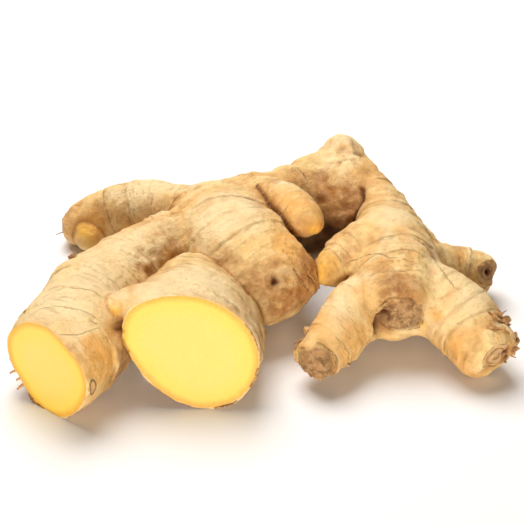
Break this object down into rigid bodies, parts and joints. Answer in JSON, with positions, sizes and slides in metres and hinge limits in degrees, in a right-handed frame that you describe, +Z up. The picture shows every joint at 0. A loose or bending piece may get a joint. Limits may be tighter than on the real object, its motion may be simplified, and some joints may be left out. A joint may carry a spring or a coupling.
{
  "type": "ginger root",
  "caption": "Fresh ginger rhizome lying on a table: swollen segments with side fingers, ring scars, small buds, and two arms sliced through to the yellow flesh.",
  "frame": {"origin": "on the table plane, under the middle of the part's bounding box", "axes": "+X along the longest extent, from the sliced left arm to the right fingers; +Z up; -Y the side that the knife cuts face"},
  "size_m": [0.1616, 0.1292, 0.0397],
  "materials": {
    "skin": "thin dry corky skin, tan, matt with a faint sheen"
  },
  "bodies": {
    "root": {"rhizome": "skin"}
  },
  "joints": []
}
